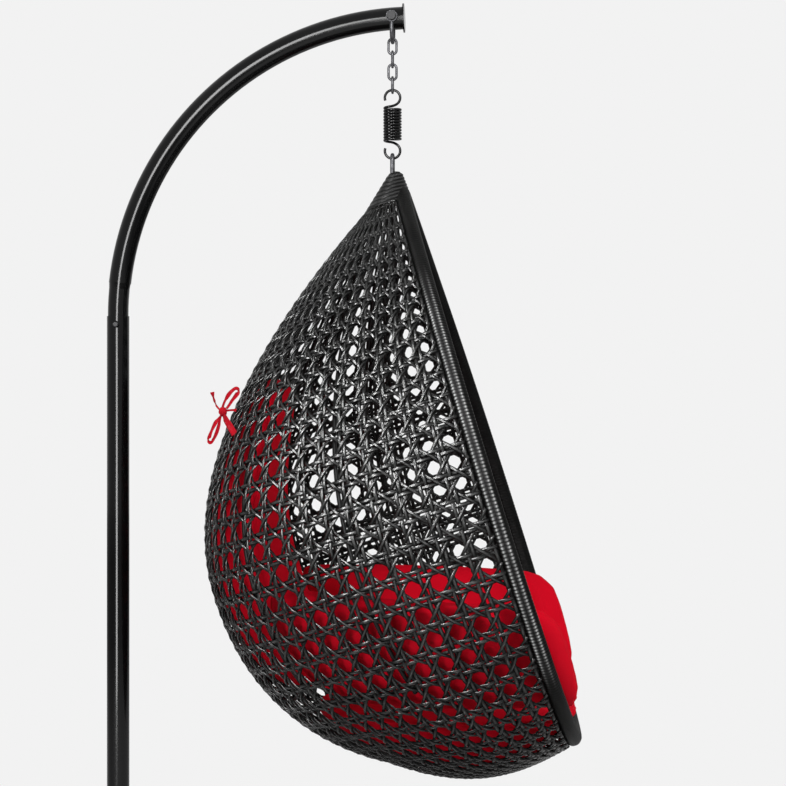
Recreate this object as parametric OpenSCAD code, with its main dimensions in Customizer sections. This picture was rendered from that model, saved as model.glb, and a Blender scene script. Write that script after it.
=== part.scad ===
// Hanging egg chair: a wicker teardrop basket with cushions, hung by a chain
// and a coil spring from a curved pole that stands on a round tube base.
// Millimetres. +Z is up, the open front faces -Y, the origin is on the floor
// in the middle of the base ring.

/* [Base] */
// Overall diameter of the base ring
ring_d = 1000; // [980:5:1100]
// Diameter of the base tubes
ring_tube_d = 38; // [38:1:42]
// Diameter of the fore-and-aft spine tube
spine_d = 36; // [30:1:36]
// Wall of the base tubes
ring_wall = 1.5; // [1.2:0.1:2]
// Half angle of the ring stubs welded to the spine
stub_angle = 10; // [8:0.5:12]
// Height of the rubber feet under the tubes
foot_h = 12; // [10:0.5:20]
// Diameter of the rubber feet
foot_d = 34; // [28:1:40]
// Width of the flat cross bar
bar_w = 40; // [30:1:50]
// Thickness of the flat cross bar
bar_t = 5; // [4:0.5:8]
// Distance of the cross bar behind the ring centre
bar_y = 60; // [0:5:150]

/* [Pole] */
// Outer diameter of the pole
pole_d = 45; // [42:0.5:48]
// Wall of the pole
pole_wall = 2; // [1.5:0.1:2.5]
// Distance of the pole axis inside the outer edge of the base ring
pole_inset = 30; // [29:0.5:40]
// Height of the joint between the lower and the curved pole
joint_z = 1335; // [1300:5:1400]
// Radius of the pole's bend, on the tube's centre line
bend_r = 595; // [580:1:620]
// Angle that the pole bends through
bend_angle = 88.2; // [87.6:0.1:90]
// Length of the swaged spigot inside the lower pole
spigot_len = 90; // [60:5:120]
// Length of the drawn-in neck above the joint, along the bend
neck_len = 55; // [40:5:80]
// Height of the socket tube above its plate
socket_h = 150; // [120:5:200]
// Wall of the socket tube
socket_wall = 4; // [3:0.5:5]
// Diameter of the end cap's flange
cap_d = 58; // [50:1:62]
// Thickness of the end cap's flange
cap_t = 3; // [2:0.5:5]

/* [Hanger] */
// Angle round the bend at which the hanger bolt crosses the pole
hang_angle = 86.15; // [85.9:0.05:86.3]
// Diameter of the hanger bolt
hang_bolt_d = 10; // [8:0.5:12]
// Wire of the U shackle
shackle_wire = 8; // [7:0.5:9]
// Drop from the hanger bolt to the shackle's bottom wire
shackle_drop = 47; // [44:0.5:55]
// Wire of the chain links
link_wire = 5; // [4:0.25:5.5]
// Outer length of a chain link
link_len = 36; // [34:0.5:42]
// Outer width of a chain link
link_w = 21; // [20.5:0.5:24]

/* [Spring] */
// Outer diameter of the spring's coil
spring_od = 37.5; // [35:0.5:42]
// Wire of the spring
spring_wire = 5.3; // [4.5:0.1:5.4]
// Rise of one curl
spring_pitch = 5.85; // [5.85:0.05:6.5]
// Whole curls between the hooks, which add a third of a curl
spring_curls = 11; // [8:1:14]
// Outer diameter of the hooks
hook_od = 36; // [34:0.5:38]

/* [Basket] */
// Length of the opening, along its slope
basket_len = 1178; // [1120:2:1240]
// Greatest width of the basket
basket_w = 960; // [900:5:1000]
// Greatest depth behind the front of the rim
basket_depth = 608; // [560:4:620]
// Lean of the opening from the vertical
basket_lean = 17.6; // [15:0.1:20]
// Distance from the basket's low end to where it is widest, along the slope
widest_up = 478; // [440:2:520]
// Distance from the basket's low end to where it is deepest, along the slope
deepest_up = 496; // [450:2:540]
// Thickness of the woven shell
shell_t = 5; // [4:0.5:8]
// Diameter of the wrapped rim
rim_d = 34; // [30:1:38]
// Diameter of the rim's steel tube
rim_tube_d = 22; // [18:1:24]
// Wall of the rim's steel tube
rim_tube_wall = 1.5; // [1:0.1:2]
// Diameter of the ribs
rib_d = 8; // [6:0.5:10]
// Distance from the basket's low end to the seat hoop, along the slope
hoop_up = 248; // [200:4:300]
// Wire of the hanging loop on top of the basket
loop_wire = 8; // [6:0.5:9]
// Drop from the hanging loop's bar to the basket's apex
apex_drop = 42; // [40:1:50]
// Distance of the apex in front of the hanging line
apex_front = 25; // [20:1:30]

/* [Cushions] */
// Thickness of the back cushion
back_t = 112; // [80:2:130]
// Rise of the back cushion's top edge above the seat
back_rise = 634; // [580:2:650]
// Thickness of the arm cushions
arm_t = 100; // [70:2:120]
// Rise of the arm cushions' top edge above the seat
arm_rise = 226; // [180:2:280]
// Rise of the seat cushion's top above the low end of the basket's slope
seat_rise = 87; // [75:1:110]
// How far the cushions stand out in front of the rim
front_roll = 45; // [20:1:55]
// Width of the ribbon tie
ribbon_w = 13; // [8:1:16]

/* [Hidden] */
$fn = 64;

// colours
black_gloss = [0.04, 0.04, 0.045];
dull_steel = [0.30, 0.30, 0.31];
zinc = [0.55, 0.56, 0.58];
rubber = [0.10, 0.10, 0.10];
wicker = [0.13, 0.13, 0.14];
frame_grey = [0.20, 0.20, 0.21];
cushion_red = [0.80, 0.05, 0.12];

// fits and clearances
seat_gap = 0.3;        // between wires and surfaces that rest on each other
slip_gap = 0.3;        // radial, tube in tube
bolt_gap = 0.1;        // radial, bolt in a clearance hole
pivot_gap = 0.05;      // radial, hanger bolt in the shackle's eyes
cushion_gap = 4;       // cushion to cushion
cushion_clear = 0.5;     // cushion to rib or hoop
rim_clear = 3;         // cushion to rim

// bolts: [shank, across flats or head, head height, nut height]
m6 = [6, 11, 3.5, 5];
m8 = [8, 14, 4.5, 6.5];
m10_flats = 17;
m10_head_h = 6.4;
m10_nut_h = 8;

// base
ring_r = (ring_d - ring_tube_d) / 2;
tube_r = ring_tube_d / 2;
ring_z = foot_h + tube_r;
base_top_z = foot_h + ring_tube_d;
stub_spigot = stub_angle * 0.65;
plug_r = tube_r - ring_wall - slip_gap;
ring_bolt_angle = stub_angle - stub_spigot / 2;
bar_half = sqrt(ring_r * ring_r - bar_y * bar_y);
foot_angles = [30, 90, 150, 210, 270, 330];
foot_wrap = 5;
foot_gap = 0.2;

// pole
pole_r = pole_d / 2;
pole_y = ring_d / 2 - pole_inset;
plate_t = 6;
plate_half = ring_r * sin(ring_bolt_angle) - m6[1] / 2 - 3;
plate_front = 62;
pole_foot_z = base_top_z + plate_t;
socket_r = pole_r + slip_gap;
spigot_r = pole_r - pole_wall - slip_gap;
neck_r = pole_r - 1.7;
neck_angle = neck_len / bend_r * 180 / PI;
flare_len = 12;
swage_step = 0.4;
flare_angle = flare_len / bend_r * 180 / PI;
socket_bolt_z = [pole_foot_z + 45, pole_foot_z + 110];
joint_bolt_z = joint_z - 17;
cap_plug = 15;
side_gusset_h = 30;
front_gusset_h = 105;
front_gusset_l = 40;
gusset_t = 5;

// hanger, on the line where everything below hangs
hang_y = pole_y - bend_r + bend_r * cos(hang_angle);
hang_z = joint_z + bend_r * sin(hang_angle);
eye_gap = 2;
eye_t = 8;
eye_r = 11;
washer_t = 1.6;
washer_r = 10;
shackle_r = pole_r + eye_gap + eye_t / 2;
eye_in = pole_r + eye_gap;
washer_x = eye_in + eye_t + seat_gap;
shackle_z = hang_z - shackle_drop;

// chain: centres of the four links
link_z1 = shackle_z + (shackle_wire + link_wire) / 2 + seat_gap - (link_len - link_wire) / 2;
link_pitch = link_len - 2 * link_wire - seat_gap;
link_z = [for (i = [0:3]) link_z1 - i * link_pitch];

// spring
coil_r = (spring_od - spring_wire) / 2;
hook_r = (hook_od - spring_wire) / 2;
hook_top_z = link_z[3] - (link_len - link_wire) / 2 + (link_wire + spring_wire) / 2 + seat_gap;
hook_z = hook_top_z - hook_r;
hook_rise = hook_r + 4.6;
coil_top_z = hook_z - hook_rise;
coil_turns = spring_curls + 1 / 3;
coil_h = coil_turns * spring_pitch;
low_hook_z = coil_top_z - coil_h - hook_rise;
spring_mid_z = (hook_z + low_hook_z) / 2;
loop_z = low_hook_z - hook_r + (spring_wire + loop_wire) / 2 + seat_gap;
loop_r = 12;

// basket frame: s runs down the slope of the opening, d runs back from its front
apex_z = loop_z - apex_drop;
apex_y = hang_y - apex_front;
half_w = basket_w / 2;
widest_at = basket_len - widest_up;
deepest_at = basket_len - deepest_up;
hoop_at = basket_len - hoop_up;
rim_r = rim_d / 2;
rib_r = rib_d / 2;
edge_d = rim_r + sqrt(rim_r * rim_r - pow(rim_r - shell_t, 2)) + seat_gap;
half_d = basket_depth - edge_d;
crown_s = 46;
shell_rows = 12;
shell_low_rows = 13;
shell_cols = 32;
shell_end = 87;        // share of a right angle at which the shell's last row lies
rib_end = 88;          // the same for the back rib
crown_top_z = apex_z + 8;
seat_top_z = apex_z - basket_len * cos(basket_lean) + seat_rise;
w_power = 0.95;        // fullness of the sides towards the apex
d_power = 1.05;        // fullness of the back towards the apex
w_round = 2.0;         // roundness of the lower sides
d_round = 2.2;         // roundness of the lower back
section_n = 2.4;       // squareness of a section across the basket
belly = 22;            // sag of the underside below the rim
belly_from = widest_at + 100;
belly_d = 340;
wall_gap = 0.9;        // rib to shell, hoop to rib
rib_inset = shell_t + wall_gap + rib_r;
hoop_inset = shell_t + 2 * wall_gap + rib_d + rib_r;
pad_inset = shell_t + 2 * wall_gap + 2 * rib_d + cushion_clear;
rib_cols = [0, 7, 12];  // of the shell's columns, from the middle of the back
rib_angles = rib_cols * (180 / shell_cols);

// Inset of the cushions at depth d: past the ribs, and more beside the rim
function pad_inset_at(d, base = pad_inset) =
    let (k = max(0, min(1, (edge_d + 28 - d) / 20)))
    base + (rim_d + rim_clear - base) * k;

// ---------------------------------------------------------------- basket form

function clamp01(x) = max(0, min(1, x));

// Half width or depth at s, drawn in square to the surface by inset
function profile(s, full, at, power, roundness, inset) =
    s < at
    ? let (x = (at - s) / at, e = max(1 - x * x, 0.0001),
           slope = full * power * pow(e, power - 1) * 2 * x / at)
      full * pow(e, power) - inset * sqrt(1 + slope * slope)
    : (full - inset) * pow(max(0, 1 - pow(clamp01((s - at) / (basket_len - inset - at)),
          roundness)), 1 / roundness);
function side_at(s, inset) = profile(s, half_w, widest_at, w_power, w_round, inset);
function back_at(s, inset) = profile(s, half_d, deepest_at, d_power, d_round, inset);

// Sag of the underside at (s, d)
function sag(s, d) =
    let (k = clamp01((s - belly_from) / (basket_len - belly_from)))
    belly * sin(180 * clamp01((d - edge_d) / belly_d)) * k * k * (3 - 2 * k);

// From the slope's coordinates to the row's
function place(x, s, d) =
    let (q = s + sag(s, d))
    [x, apex_y - q * sin(basket_lean) + d * cos(basket_lean),
     apex_z - q * cos(basket_lean) - d * sin(basket_lean)];

// Across and back shares of a section at angle a from the middle of the back
function across(a) = sign(a) * pow(abs(sin(a)), 2 / section_n);
function behind(a) = pow(abs(cos(a)), 2 / section_n);

// A point on the basket, drawn in by inset; rho below 1 moves it inwards
function on_basket(s, a, inset, rho = 1) =
    place(rho * side_at(s, inset) * across(a), s,
          edge_d + rho * back_at(s, inset) * behind(a));

// Stations down the slope: even above the widest place, closer near the bottom
function stations(from, inset, n_up, n_low, last = 90) = concat(
    [for (i = [0:n_up - 1]) from + (widest_at - from) * i / n_up],
    [for (i = [0:n_low]) widest_at
        + (basket_len - inset - widest_at) * sin(last * i / n_low)]);

// ---------------------------------------------------------------- mesh tools

function unit(v) = v / norm(v);
function tangent(p, i) =
    unit(p[min(i + 1, len(p) - 1)] - p[max(i - 1, 0)]);

// Ring of points round p[i] in the plane square to the path; side is a guide
// An end ring is mitred into the plane square to cut, when cut is given
function ring_at(p, i, r, n, guide, cut = [0, 0, 0]) =
    let (t = tangent(p, i), u = unit(guide - (guide * t) * t), v = cross(t, u),
         mitre = norm(cut) > 0 && (i == 0 || i == len(p) - 1))
    [for (k = [0:n - 1]) let (q = r * (cos(360 * k / n) * u + sin(360 * k / n) * v))
        p[i] + q - (mitre ? (q * cut) / (t * cut) * t : [0, 0, 0])];

// Quads between rows of equal length, closed across the row when wrap is 1
function skin(rows, n, wrap, start = 0, flip = false) =
    [for (i = [0:rows - 2], k = [0:n - 2 + wrap])
        let (a = start + i * n + k, b = start + i * n + (k + 1) % n, c = a + n, d = b + n)
        each flip ? [[a, b, d], [a, d, c]] : [[a, d, b], [a, c, d]]];

// Solid tube along a path, with one guide vector for its rings
module tube_along(p, r, n, guide) {
    m = len(p);
    points = [for (i = [0:m - 1]) each ring_at(p, i, r, n, guide)];
    ends = [[for (k = [0:n - 1]) k], [for (k = [n - 1:-1:0]) (m - 1) * n + k]];
    polyhedron(points, concat(skin(m, n, 1), ends));
}

// Hollow tube along a path, its ends mitred square to cut
module sleeve_along(p, r_out, r_in, n, guide, cut) {
    m = len(p);
    outer = [for (i = [0:m - 1]) each ring_at(p, i, r_out, n, guide, cut)];
    inner = [for (i = [0:m - 1]) each ring_at(p, i, r_in, n, guide, cut)];
    q = m * n;
    first = [for (k = [0:n - 1]) let (j = (k + 1) % n)
        each [[k, j, q + j], [k, q + j, q + k]]];
    last = [for (k = [0:n - 1]) let (j = (k + 1) % n, e = (m - 1) * n)
        each [[e + k, q + e + j, e + j], [e + k, q + e + k, q + e + j]]];
    polyhedron(concat(outer, inner),
        concat(skin(m, n, 1), skin(m, n, 1, q, true), first, last));
}

// ---------------------------------------------------------------- hardware

module hex(flats, h) cylinder(d = flats / cos(30), h = h, $fn = 6);

// Button head up, shank down from the origin
module button_bolt(size, length) {
    translate([0, 0, -length]) cylinder(d = size[0], h = length + 0.01);
    cylinder(d1 = size[1], d2 = size[1] * 0.62, h = size[2]);
}

// Nut round a shank, its top face at the origin
module nut(size) {
    translate([0, 0, -size[3]])
        difference() {
            hex(size[1] * 0.92, size[3]);
            translate([0, 0, -1]) cylinder(d = size[0] + 2 * pivot_gap, h = size[3] + 2);
        }
}

// ---------------------------------------------------------------- base

module ring_arc(from, to, r) {
    translate([0, 0, ring_z])
        rotate([0, 0, from])
            rotate_extrude(angle = to - from, $fn = 180)
                translate([ring_r, 0]) circle(r = r, $fn = 48);
}

// Solid bar along the spine, between the middles of the ring's front and back
module spine_bar(r) {
    translate([0, -ring_r, ring_z]) rotate([-90, 0, 0]) cylinder(r = r, h = 2 * ring_r);
}

module stub_arcs(r, half) {
    for (a = [90, 270]) ring_arc(a - half, a + half, r);
}

module ring_bolt_places() {
    for (a = [90, 270], side = [-1, 1])
        rotate([0, 0, a + side * ring_bolt_angle]) translate([ring_r, 0, base_top_z])
            children();
}

module crossbar_bolt_places() {
    for (x = [-bar_half, 0, bar_half]) translate([x, bar_y, base_top_z + bar_t]) children();
}

module down_hole(size) translate([0, 0, -base_top_z]) cylinder(d = size[0] + 2 * bolt_gap,
    h = base_top_z + bar_t + 20);

module base_spine() {
    color(black_gloss) difference() {
        union() {
            spine_bar(spine_d / 2);
            stub_arcs(tube_r, stub_angle);
        }
        spine_bar(spine_d / 2 - ring_wall);
        stub_arcs(tube_r - ring_wall, stub_angle + 1);
        ring_bolt_places() down_hole(m6);
        crossbar_bolt_places() down_hole(m8);
    }
}

// The half of the ring on the +X side, with a swaged spigot at each end
module ring_half() {
    reach = 90 - stub_angle;
    split = seat_gap / ring_r * 180 / PI;
    lap = 1;
    difference() {
        union() {
            ring_arc(-reach + split, reach - split, tube_r);
            ring_arc(-reach - stub_spigot, reach + stub_spigot, plug_r);
        }
        ring_arc(-reach + lap, reach - lap, tube_r - ring_wall);
        ring_arc(-reach - stub_spigot - 1, reach + stub_spigot + 1, plug_r - ring_wall);
        ring_bolt_places() down_hole(m6);
        crossbar_bolt_places() down_hole(m8);
    }
}

module base_ring_left() {
    color(black_gloss) ring_half();
}

module base_ring_right() {
    color(black_gloss) mirror([1, 0, 0]) ring_half();
}

module base_crossbar() {
    color(black_gloss) difference() {
        translate([0, bar_y, base_top_z]) linear_extrude(bar_t) {
            square([2 * bar_half, bar_w], center = true);
            for (side = [-1, 1]) translate([side * bar_half, 0]) circle(d = bar_w);
        }
        crossbar_bolt_places() down_hole(m8);
        translate([0, 0, base_top_z - 1]) difference() {
            cylinder(r = ring_d, h = bar_t + 2, $fn = 180);
            translate([0, 0, -1]) cylinder(r = ring_d / 2 - 0.5, h = bar_t + 4, $fn = 180);
        }
    }
}

module ring_bolts() {
    color(zinc) ring_bolt_places() {
        button_bolt(m6, ring_tube_d + m6[3] + 1);
        translate([0, 0, -ring_tube_d]) nut(m6);
    }
}

module crossbar_bolts() {
    color(zinc) crossbar_bolt_places() {
        button_bolt(m8, ring_tube_d + bar_t + m8[3] + 1);
        translate([0, 0, -ring_tube_d - bar_t]) nut(m8);
    }
}

module rubber_feet() {
    color(rubber) difference() {
        for (a = foot_angles) rotate([0, 0, a]) translate([ring_r, 0, 0]) {
            cylinder(d1 = foot_d - 4, d2 = foot_d, h = 2);
            translate([0, 0, 2]) cylinder(d = foot_d, h = foot_h + foot_wrap - 2);
        }
        ring_arc(0, 360, tube_r + foot_gap);
        spine_bar(spine_d / 2 + foot_gap);
    }
}

// ---------------------------------------------------------------- pole

module socket_bolt_places() {
    for (z = socket_bolt_z) translate([0, pole_y, z]) rotate([0, -90, 0]) children();
}

module cross_hole(d, reach) translate([0, 0, -reach]) cylinder(d = d + 2 * bolt_gap, h = 2 * reach);

module pole_socket() {
    r = socket_r + socket_wall;
    color(black_gloss) difference() {
        union() {
            intersection() {
                translate([-plate_half, pole_y - plate_front, base_top_z])
                    cube([2 * plate_half, plate_front + plate_half, plate_t]);
                cylinder(r = ring_d / 2 - 1, h = base_top_z + plate_t, $fn = 180);
            }
            translate([0, pole_y, base_top_z + 1]) cylinder(r = r, h = plate_t + socket_h - 1);
            translate([-gusset_t / 2, pole_y, pole_foot_z - 0.5]) rotate([90, 0, 90])
                linear_extrude(gusset_t)
                    polygon([[-socket_r - 1, 0], [-r - front_gusset_l * 0.75, 0],
                        [-r, front_gusset_h], [-socket_r - 1, front_gusset_h]]);
            for (side = [-1, 1])
                translate([0, pole_y + gusset_t / 2, pole_foot_z - 0.5]) rotate([90, 0, 0])
                    linear_extrude(gusset_t)
                        polygon([[side * (socket_r + 1), 0], [side * (plate_half - 3), 0],
                            [side * r, side_gusset_h], [side * (socket_r + 1), side_gusset_h]]);
        }
        translate([0, pole_y, pole_foot_z]) cylinder(r = socket_r, h = socket_h + 1);
        socket_bolt_places() cross_hole(m8[0], 60);
    }
}

module socket_bolts() {
    reach = socket_r + socket_wall;
    color(zinc) socket_bolt_places() {
        translate([0, 0, reach]) button_bolt(m8, 2 * reach + m8[3] + 1);
        translate([0, 0, -reach]) nut(m8);
    }
}

module joint_bolt_place() {
    translate([0, pole_y, joint_bolt_z]) rotate([0, -90, 0]) children();
}

module lower_pole() {
    color(black_gloss) difference() {
        translate([0, pole_y, pole_foot_z]) cylinder(r = pole_r, h = joint_z - pole_foot_z);
        translate([0, pole_y, pole_foot_z - 1])
            cylinder(r = pole_r - pole_wall, h = joint_z - pole_foot_z + 2);
        socket_bolt_places() cross_hole(m8[0], 60);
        joint_bolt_place() cross_hole(m8[0], 60);
    }
}

// Moves children to the centre line at angle a of the bend, +Z along the tube
module on_bend(a) {
    translate([0, pole_y - bend_r + bend_r * cos(a), joint_z + bend_r * sin(a)])
        rotate([a, 0, 0]) children();
}

module curved_pole() {
    bore = pole_r - pole_wall;
    small = spigot_r - pole_wall;
    main_from = neck_angle + flare_angle;
    color(black_gloss) difference() {
        union() {
            translate([0, pole_y, joint_z - spigot_len]) cylinder(r = spigot_r, h = spigot_len + 2);
            bend_tube(0, neck_angle, neck_r);
            on_bend(neck_angle - flare_angle / 4)
                cylinder(r1 = neck_r - swage_step, r2 = pole_r - swage_step, h = flare_len * 1.5);
            bend_tube(main_from, bend_angle, pole_r);
        }
        translate([0, pole_y, joint_z - spigot_len - 1]) cylinder(r = small, h = spigot_len + 1);
        bend_tube(-flare_angle / 2, main_from + flare_angle, small - swage_step / 2);
        bend_tube(main_from + flare_angle / 2, bend_angle + 1, bore);
        on_bend(hang_angle) rotate([0, 90, 0]) cross_hole(hang_bolt_d, 60);
        joint_bolt_place() cross_hole(m8[0], 60);
    }
}

// Solid stretch of the bend: 0 is straight up at the joint, 90 is level at the top
module bend_tube(a, b, r) {
    translate([0, pole_y - bend_r, joint_z]) rotate([0, 0, 90]) rotate([90, 0, 0])
        rotate([0, 0, a]) rotate_extrude(angle = b - a, $fn = 240)
            translate([bend_r, 0]) circle(r = r, $fn = 48);
}

module joint_bolt() {
    color(zinc) joint_bolt_place() {
        translate([0, 0, pole_r]) button_bolt(m8, 2 * pole_r + m8[3] + 1);
        translate([0, 0, -pole_r]) nut(m8);
    }
}

module end_cap() {
    color(black_gloss) on_bend(bend_angle) {
        cylinder(d = cap_d, h = cap_t);
        translate([0, 0, -cap_plug]) difference() {
            cylinder(r = pole_r - pole_wall - slip_gap, h = cap_plug + 0.1);
            translate([0, 0, -1]) cylinder(r = pole_r - 2 * pole_wall - slip_gap, h = cap_plug + 1);
        }
    }
}

// ---------------------------------------------------------------- hanger

module at_hanger() translate([0, hang_y, hang_z]) rotate([0, -90, 0]) children();

module hanger_bolt() {
    color(zinc) at_hanger() {
        translate([0, 0, -washer_x - washer_t - m10_nut_h - 1.5])
            cylinder(d = hang_bolt_d, h = 2 * (washer_x + washer_t) + m10_nut_h + 1.6);
        translate([0, 0, washer_x + washer_t]) intersection() {
            hex(m10_flats, m10_head_h);
            cylinder(d1 = m10_flats * 1.6, d2 = m10_flats * 0.98, h = m10_head_h);
        }
    }
}

module hanger_nut() {
    color(zinc) at_hanger() translate([0, 0, -washer_x - washer_t - m10_nut_h]) difference() {
        hex(m10_flats, m10_nut_h);
        translate([0, 0, -1]) cylinder(d = hang_bolt_d + 2 * pivot_gap, h = m10_nut_h + 2);
    }
}

module hanger_washers() {
    color(zinc) at_hanger() for (side = [-1, 1])
        translate([0, 0, side * (washer_x + washer_t / 2)]) difference() {
            cylinder(r = washer_r, h = washer_t, center = true);
            cylinder(d = hang_bolt_d + 2 * bolt_gap, h = washer_t + 2, center = true);
        }
}

// Half ring of wire, opening upwards, in the XZ plane, bottom at its lowest
module half_ring(r, wire) {
    rotate([90, 0, 0]) rotate([0, 0, 180]) rotate_extrude(angle = 180)
        translate([r, 0]) circle(d = wire, $fn = 32);
}

module hanger_shackle() {
    bend_z = shackle_drop - shackle_r;
    color(dull_steel) translate([0, hang_y, hang_z]) difference() {
        union() {
            translate([0, 0, -bend_z]) half_ring(shackle_r, shackle_wire);
            for (side = [-1, 1]) translate([side * shackle_r, 0, 0]) {
                translate([0, 0, -bend_z]) cylinder(d = shackle_wire, h = bend_z, $fn = 32);
                rotate([0, 90, 0]) cylinder(r = eye_r, h = eye_t, center = true);
            }
        }
        rotate([0, 90, 0]) cylinder(d = hang_bolt_d + 2 * pivot_gap, h = 4 * shackle_r,
            center = true);
    }
}

// One chain link in the XZ plane, centred on the origin
module chain_link() {
    r = (link_w - link_wire) / 2;
    straight = (link_len - link_w) / 2;
    for (end = [0, 180]) rotate([0, end, 0]) translate([0, 0, -straight]) half_ring(r, link_wire);
    for (side = [-1, 1]) translate([side * r, 0, -straight])
        cylinder(d = link_wire, h = 2 * straight, $fn = 32);
}

module hang_link(i, turn) {
    color(dull_steel) translate([0, hang_y, link_z[i]]) rotate([0, 0, turn]) chain_link();
}

module chain_link_1() hang_link(0, 90);
module chain_link_2() hang_link(1, 0);
module chain_link_3() hang_link(2, 90);
module chain_link_4() hang_link(3, 0);

// ---------------------------------------------------------------- spring

rings_per_curl = 8;
hook_steps = 16;
lead_steps = 5;
coil_end = 150;        // angle at which the coil leaves for its upper hook
hook_from = -50;       // angles along the hook, from level on the front side
hook_to = 200;

function hook_point(a) = [0, -hook_r * cos(a), hook_rise + hook_r * sin(a)];
function blend_point(p0, t0, p1, t1, u) =
    (2 * u * u * u - 3 * u * u + 1) * p0 + (u * u * u - 2 * u * u + u) * t0
    + (3 * u * u - 2 * u * u * u) * p1 + (u * u * u - u * u) * t1;

// Upper lead and hook, from the end of the coil, with z measured from it
function hook_path() =
    let (p0 = [coil_r * cos(coil_end), coil_r * sin(coil_end), 0],
         t0 = 20 * [-sin(coil_end), cos(coil_end), 0.06],
         p1 = hook_point(hook_from),
         t1 = 20 * [0, sin(hook_from), cos(hook_from)],
         tip = hook_point(hook_to),
         way = [0, sin(hook_to), cos(hook_to)])
    concat([for (i = [1:lead_steps]) blend_point(p0, t0, p1, t1, i / lead_steps)],
        [for (i = [1:hook_steps]) hook_point(hook_from + (hook_to - hook_from) * i / hook_steps)],
        [tip + spring_wire * way]);

function spring_path() =
    let (top = hook_path(), n = len(top), steps = rings_per_curl * coil_turns)
    concat(
        [for (i = [n - 1:-1:0]) [-top[i][0], top[i][1], -coil_h / 2 - top[i][2]]],
        [for (i = [0:floor(steps)]) let (a = 180 - coil_end + 360 * i / rings_per_curl)
            [coil_r * cos(a), coil_r * sin(a),
             -coil_h / 2 + spring_pitch * i / rings_per_curl]],
        [[coil_r * cos(coil_end), coil_r * sin(coil_end), coil_h / 2]],
        [for (p = top) [p[0], p[1], p[2] + coil_h / 2]]);

// Rings carried along the path without twist
function carried(p, i, u) =
    i >= len(p) ? [] :
    let (t = tangent(p, i), w = unit(u - (u * t) * t)) concat([w], carried(p, i + 1, w));

module spring() {
    p = spring_path();
    n = 6;
    guides = carried(p, 0, [1, 0, 0]);
    m = len(p);
    near = min([for (i = [0:m - 1], j = [i + 5:1:m - 1]) norm(p[i] - p[j])]);
    echo("spring: least gap between curls", near - spring_wire);
    points = [for (i = [0:m - 1]) each ring_at(p, i, spring_wire / 2, n, guides[i])];
    ends = [[for (k = [0:n - 1]) k], [for (k = [n - 1:-1:0]) (m - 1) * n + k]];
    color(black_gloss) translate([0, hang_y, spring_mid_z])
        polyhedron(points, concat(skin(m, n, 1), ends));
}

// ---------------------------------------------------------------- basket frame

module basket_loop() {
    leg = loop_z - loop_r - crown_top_z + 14;
    color(dull_steel) translate([0, hang_y, loop_z - loop_r]) {
        rotate([180, 0, 0]) half_ring(loop_r, loop_wire);
        for (side = [-1, 1]) translate([side * loop_r, 0, -leg])
            cylinder(d = loop_wire, h = leg, $fn = 32);
    }
}

module basket_crown() {
    w = side_at(crown_s, 0);
    depth = edge_d + back_at(crown_s, 0);
    color(wicker) difference() {
        hull() {
            translate([0, hang_y, crown_top_z - 4]) cylinder(r = loop_r + 6, h = 4, $fn = 32);
            translate([0, apex_y, apex_z]) rotate([-basket_lean, 0, 0])
                translate([0, depth / 2, -crown_s]) scale([w, depth / 2, 1])
                    cylinder(r = 1, h = 4, $fn = 32);
        }
        translate([0, hang_y, crown_top_z]) for (side = [-1, 1])
            translate([side * loop_r, 0, -14 - seat_gap])
                cylinder(d = loop_wire + 2 * bolt_gap, h = 30, $fn = 32);
    }
}

// Centre line of the rim, down one side and up the other
function rim_side(side) = [for (s = stations(crown_s + seat_gap, rim_r, 12, 13, 86))
    place(side * side_at(s, rim_r), s, rim_r)];
function rim_path() = concat(rim_side(-1), [place(0, basket_len - rim_r, rim_r)],
    [for (i = [len(rim_side(1)) - 1:-1:0]) rim_side(1)[i]]);
back_way = [0, cos(basket_lean), -sin(basket_lean)];
down_way = [0, -sin(basket_lean), -cos(basket_lean)];

module rim_tube() {
    color(frame_grey) sleeve_along(rim_path(), rim_tube_d / 2, rim_tube_d / 2 - rim_tube_wall, 10,
        back_way, down_way);
}

module rim_wrap() {
    color(wicker) sleeve_along(rim_path(), rim_r, rim_tube_d / 2 + slip_gap, 10, back_way,
        down_way);
}

// A rib down the basket at angle a, from the crown to the hoop or to the rim
module rib(a, inset) {
    low = a == 0 ? rib_end : asin((hoop_at + rib_d - widest_at) / (basket_len - inset - widest_at));
    p = [for (s = stations(crown_s + 8, inset, shell_rows, shell_low_rows, low)) on_basket(s, a, inset)];
    color(frame_grey) tube_along(p, rib_r, 8, [1, 0, 0]);
}

module rib_back() rib(rib_angles[0], rib_inset);
module rib_left_rear() rib(rib_angles[1], rib_inset);
module rib_left_front() rib(rib_angles[2], rib_inset);
module rib_right_rear() mirror([1, 0, 0]) rib_left_rear();
module rib_right_front() mirror([1, 0, 0]) rib_left_front();

module seat_hoop() {
    span = 89.3;
    steps = 32;
    p = [for (i = [0:steps]) on_basket(hoop_at, -span + 2 * span * i / steps, hoop_inset)];
    color(frame_grey) tube_along(p, rib_r, 8, down_way);
}

// ---------------------------------------------------------------- woven shell

function shell_face(inset) = [for (s = stations(crown_s + seat_gap, inset, shell_rows,
    shell_low_rows, shell_end)) [for (k = [0:shell_cols])
        on_basket(s, 180 * k / shell_cols - 90, inset)]];

// The weave's open meshes, drawn as a plain grid: every other row is open at
// these columns, counted from each side, and stays closed along the ribs
open_cols = [[1, 2], [5, 7], [10, 11], [13, 14]];
open_rows = 20;
function open_at(i, k) = i % 2 == 1 && i < open_rows
    && len([for (c = open_cols) if (min(k, shell_cols - 1 - k) >= c[0]
        && min(k, shell_cols - 1 - k) <= c[1]) c]) > 0;

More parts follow.
